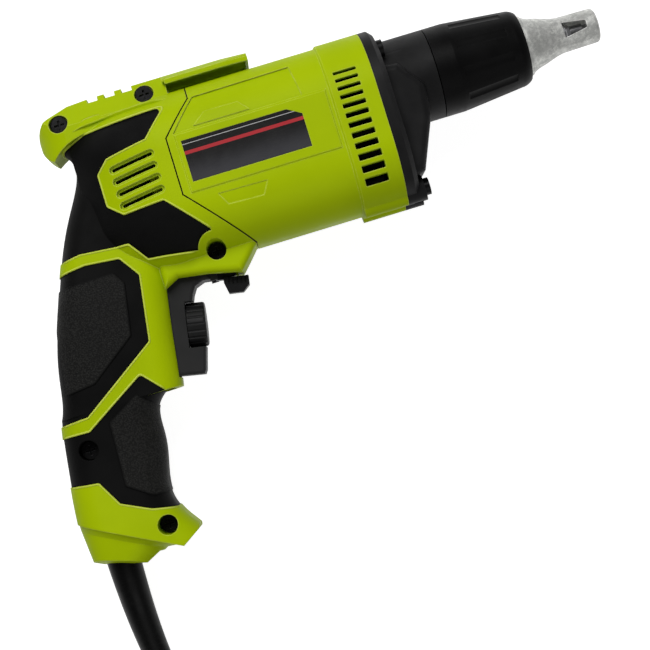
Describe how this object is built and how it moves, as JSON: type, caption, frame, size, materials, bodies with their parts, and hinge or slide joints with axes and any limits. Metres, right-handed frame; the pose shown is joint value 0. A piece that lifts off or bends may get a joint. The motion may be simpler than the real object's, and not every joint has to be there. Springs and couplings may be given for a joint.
{
  "type": "drywall screwdriver",
  "caption": "Corded pistol-grip drywall screwdriver with belt hook, speed-dial trigger, reversing lever, push clutch and a depth-setting nose collar.",
  "frame": {"origin": "On the spindle axis, in the end face of the nose locator.", "axes": "+X along the spindle out of the nose, +Y to the top of the tool, +Z to its right side. The tool lies on its left side."},
  "size_m": [0.2815, 0.3924, 0.0648],
  "materials": {
    "green_plastic": "lightly grained lime green moulding",
    "soft_grip": "matte black overmould",
    "label": "thin bare plate",
    "black_plastic": "fine grained black moulding",
    "black_screw": "black oxide",
    "cast_nose": "satin cast metal",
    "bit_steel": "satin steel",
    "steel": "ground steel",
    "lamination": "stacked sheet steel",
    "copper": "enamelled wire",
    "bronze": "sintered bronze",
    "carbon": "pressed graphite",
    "cast_plate": "die cast",
    "rubber": "matte black rubber",
    "cord": "matte black sheath",
    "strap": "woven strap",
    "plug": "matte black moulding",
    "pin_metal": "plated brass"
  },
  "bodies": {
    "tool": {"handle_shell_right": "green_plastic", "handle_shell_left": "green_plastic", "motor_housing": "green_plastic", "soft_grip_right": "soft_grip", "soft_grip_left": "soft_grip", "rating_plate": "label", "gear_case": "black_plastic", "switch_body": "black_plastic", "cable_clamp": "black_plastic", "fan_baffle": "black_plastic", "brush_holders": "black_plastic", "shell_screws": "black_screw", "gear_case_screws": "black_screw", "clamp_screws": "black_screw", "front_bearing": "steel", "rear_bearing": "steel", "stator_core": "lamination", "field_coils": "copper", "spindle_bush": "bronze", "rear_spindle_bush": "bronze", "carbon_brushes": "carbon", "bearing_plate": "cast_plate", "dust_seal": "rubber", "cord_guard": "rubber", "cord_inner": "cord", "cord_lead": "cord", "cord_coil": "cord", "cord_tail": "cord", "cord_tie": "strap", "plug_body": "plug", "plug_pins": "pin_metal"},
    "armature": {"armature_shaft": "steel", "armature_core": "lamination", "armature_winding": "copper", "commutator": "copper", "cooling_fan": "black_plastic"},
    "gear": {"drive_gear": "steel", "clutch_spring": "steel"},
    "spindle": {"spindle": "steel", "clutch_plate": "steel", "bit_retainer": "bit_steel", "bit_holder": "bit_steel", "screwdriver_bit": "bit_steel"},
    "collar": {"depth_collar": "black_plastic"},
    "locator": {"nose_locator": "cast_nose"},
    "trigger": {"trigger": "black_plastic"},
    "dial": {"speed_dial": "black_plastic"},
    "lever": {"reverse_lever": "black_plastic"},
    "button": {"lock_button": "black_plastic"}
  },
  "joints": [
    {"name": "armature_spin", "type": "hinge", "parent": "tool", "child": "armature", "pos_m": [-0.154, -0.016, 0], "axis": [1, 0, 0], "continuous": true},
    {"name": "gear_spin", "type": "hinge", "parent": "tool", "child": "gear", "pos_m": [-0.0945, 0, 0], "axis": [1, 0, 0], "continuous": true},
    {"name": "spindle_push", "type": "slide", "parent": "gear", "child": "spindle", "axis": [-1, 0, 0], "range_m": [0, 0.003], "stiffness_N_per_m": 1500, "springref_m": -0.003, "deforming": ["clutch_spring"]},
    {"name": "collar_turn", "type": "hinge", "parent": "tool", "child": "collar", "pos_m": [-0.055, 0, 0], "axis": [1, 0, 0], "range_deg": [-180, 180]},
    {"name": "locator_shift", "type": "slide", "parent": "tool", "child": "locator", "axis": [1, 0, 0], "range_m": [-0.0015, 0.0015]},
    {"name": "trigger_pull", "type": "slide", "parent": "tool", "child": "trigger", "axis": [-0.9848, 0.1736, 0], "range_m": [0, 0.006], "stiffness_N_per_m": 900, "springref_m": -0.003},
    {"name": "dial_turn", "type": "hinge", "parent": "trigger", "child": "dial", "pos_m": [-0.20715, -0.07587, 0], "axis": [0.9848, -0.1736, 0], "range_deg": [-135, 135]},
    {"name": "lever_swing", "type": "hinge", "parent": "tool", "child": "lever", "pos_m": [-0.20658, -0.04673, 0], "axis": [0.1736, 0.9848, 0], "range_deg": [-12, 12]},
    {"name": "button_press", "type": "slide", "parent": "tool", "child": "button", "axis": [0, 0, 1], "range_m": [0, 0.0025], "stiffness_N_per_m": 600, "springref_m": -0.002}
  ],
  "couplings": [
    {"joint": "gear_spin", "follows": "armature_spin", "ratio": -0.21212},
    {"joint": "locator_shift", "follows": "collar_turn", "m_per_rad": 0.000477}
  ]
}
